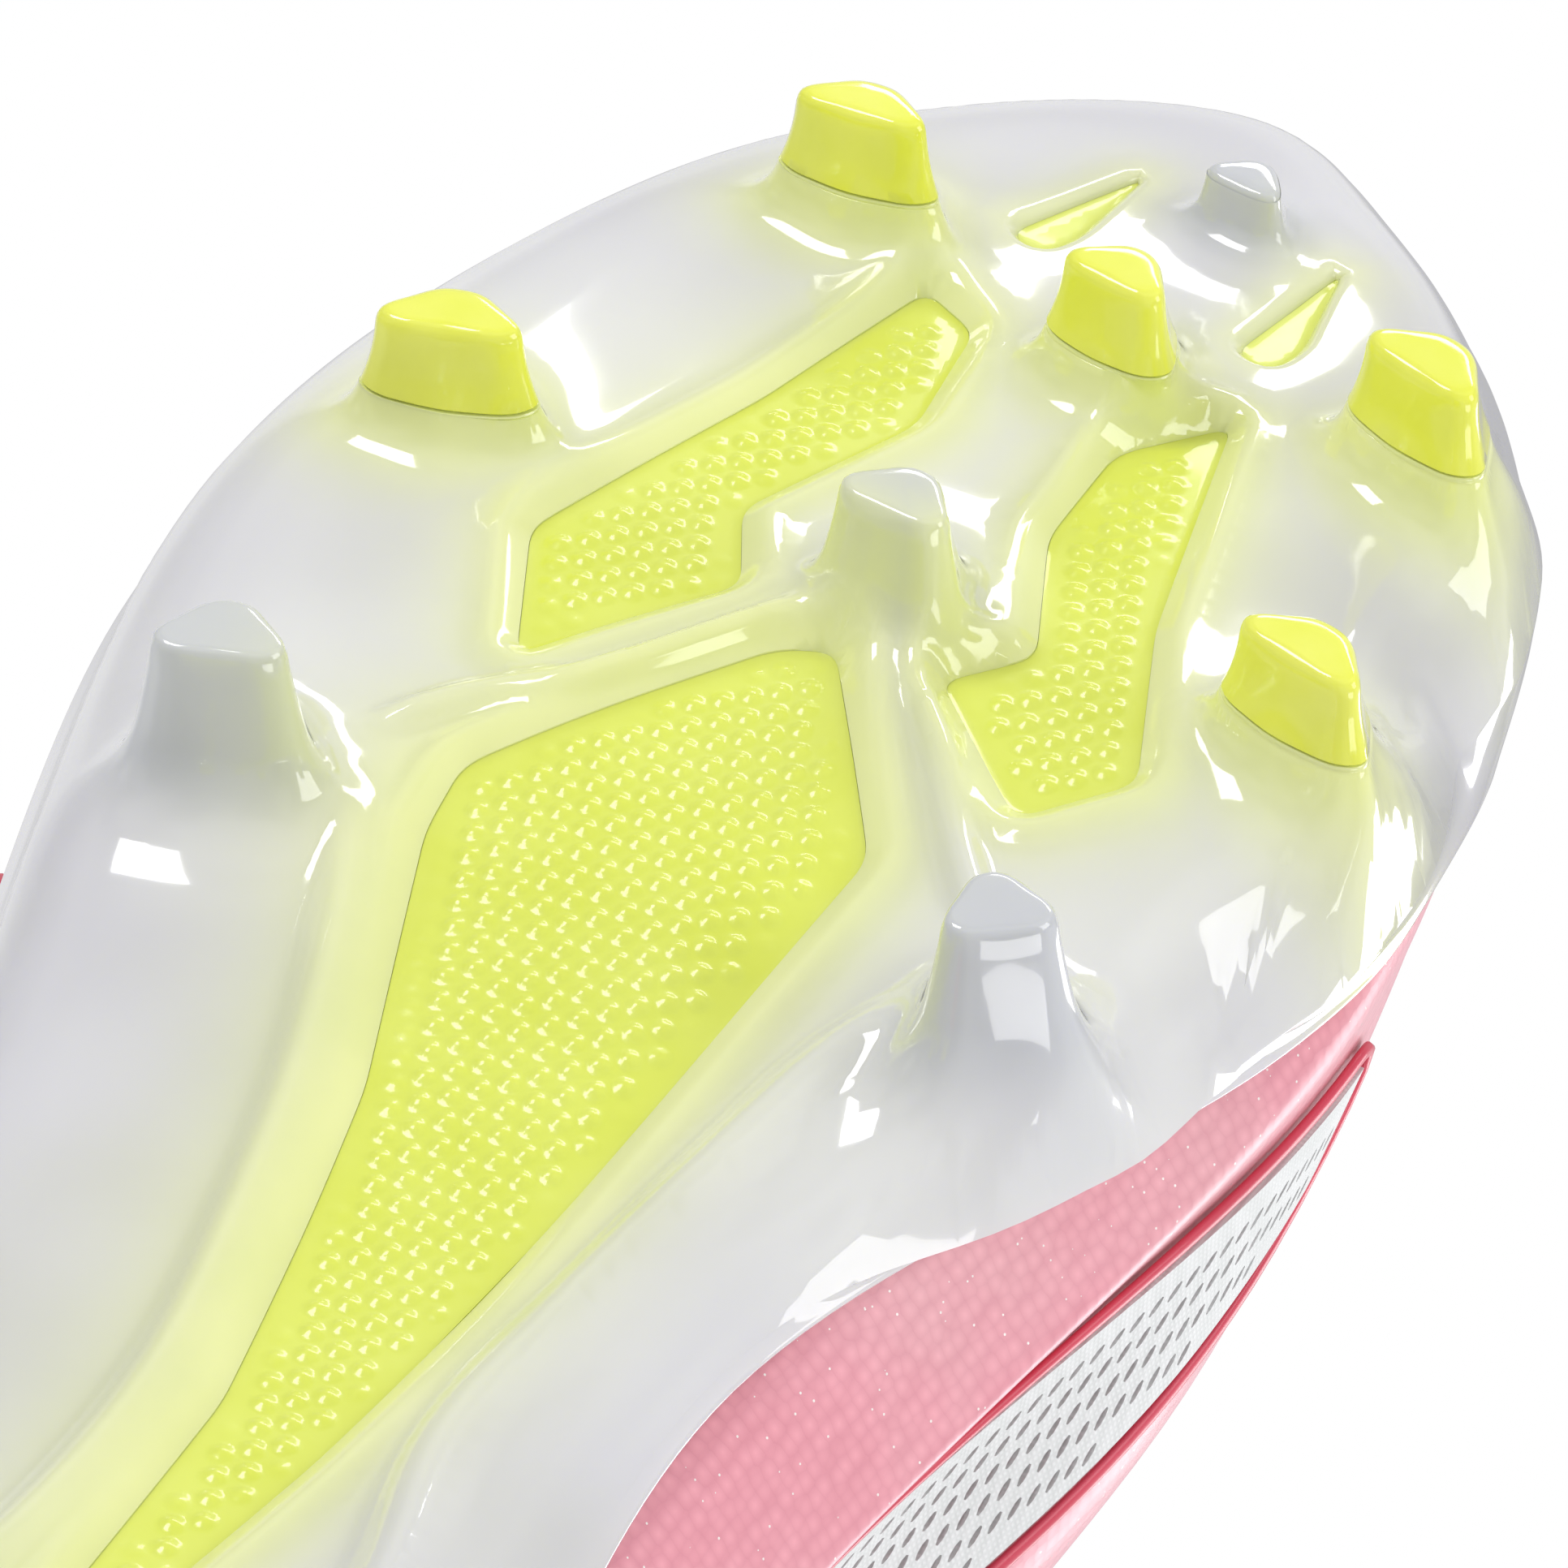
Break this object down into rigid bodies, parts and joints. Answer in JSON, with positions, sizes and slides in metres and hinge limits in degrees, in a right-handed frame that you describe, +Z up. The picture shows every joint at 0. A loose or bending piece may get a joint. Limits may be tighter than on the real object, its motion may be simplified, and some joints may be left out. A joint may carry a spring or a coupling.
{
  "type": "firm ground football boot",
  "caption": "Laceless firm-ground football boot with a clear studded plate, a yellow stiffening frame showing in its windows, and a pink knit upper with hinged pull tabs.",
  "frame": {"origin": "on the ground under the middle of the boot's overall box, with the boot standing on its stud tips", "axes": "+X towards the toe, +Y towards the medial (big toe) side, +Z up"},
  "size_m": [0.2748, 0.109, 0.1142],
  "materials": {
    "clear_plate": "glossy moulded, pearl white, lets the yellow frame glow through",
    "yellow_frame": "satin moulded, with a raised dot texture in the windows",
    "yellow_tip": "glossy moulded",
    "filler_foam": "soft foam sheet",
    "board_fleece": "stitched fleece board",
    "footbed_foam": "open foam",
    "footbed_cloth": "brushed knit",
    "coated_knit": "knit under a clear coat with fine glitter",
    "collar_knit": "ribbed stretch knit",
    "heel_stiffener": "moulded sheet",
    "padding_foam": "open foam",
    "lining_cloth": "brushed tricot",
    "toe_stiffener": "thin moulded sheet",
    "coated_trim": "smooth film",
    "perforated_panel": "white perforated coated cloth",
    "red_piping": "satin welded edging",
    "webbing": "narrow woven tape"
  },
  "bodies": {
    "shoe": {"soleplate": "clear_plate", "stiffening_frame": "yellow_frame", "bottom_filler": "filler_foam", "lasting_board": "board_fleece", "sockliner_foam": "footbed_foam", "sockliner_cloth": "footbed_cloth", "knit_upper": "coated_knit", "knit_collar": "collar_knit", "heel_counter": "heel_stiffener", "collar_foam": "padding_foam", "quarter_lining": "lining_cloth", "toe_puff": "toe_stiffener", "vamp_lining": "lining_cloth", "heel_backstay": "coated_trim", "vent_panel_lateral": "perforated_panel", "vent_panel_medial": "perforated_panel", "vent_piping_lateral": "red_piping", "vent_piping_medial": "red_piping", "stud_tip_medial_front": "yellow_tip", "stud_tip_medial_middle": "yellow_tip", "stud_tip_centre_front": "yellow_tip", "stud_tip_lateral_front": "yellow_tip", "stud_tip_lateral_middle": "yellow_tip", "stud_tip_heel_medial_front": "yellow_tip", "stud_tip_heel_medial_rear": "yellow_tip", "stud_tip_heel_lateral_front": "yellow_tip", "stud_tip_heel_lateral_rear": "yellow_tip"},
    "heel_tab": {"heel_pull_tab": "webbing"},
    "instep_tab": {"instep_pull_tab": "webbing"}
  },
  "joints": [
    {"name": "heel_tab_fold", "type": "hinge", "parent": "shoe", "child": "heel_tab", "pos_m": [-0.13252, 0.0065, 0.07955], "axis": [0, 1, 0], "range_deg": [-85, 0], "stiffness_Nm_per_rad": 0.003},
    {"name": "instep_tab_fold", "type": "hinge", "parent": "shoe", "child": "instep_tab", "pos_m": [0.00945, 0.0068, 0.09578], "axis": [0, 1, 0], "range_deg": [0, 110], "stiffness_Nm_per_rad": 0.003}
  ]
}
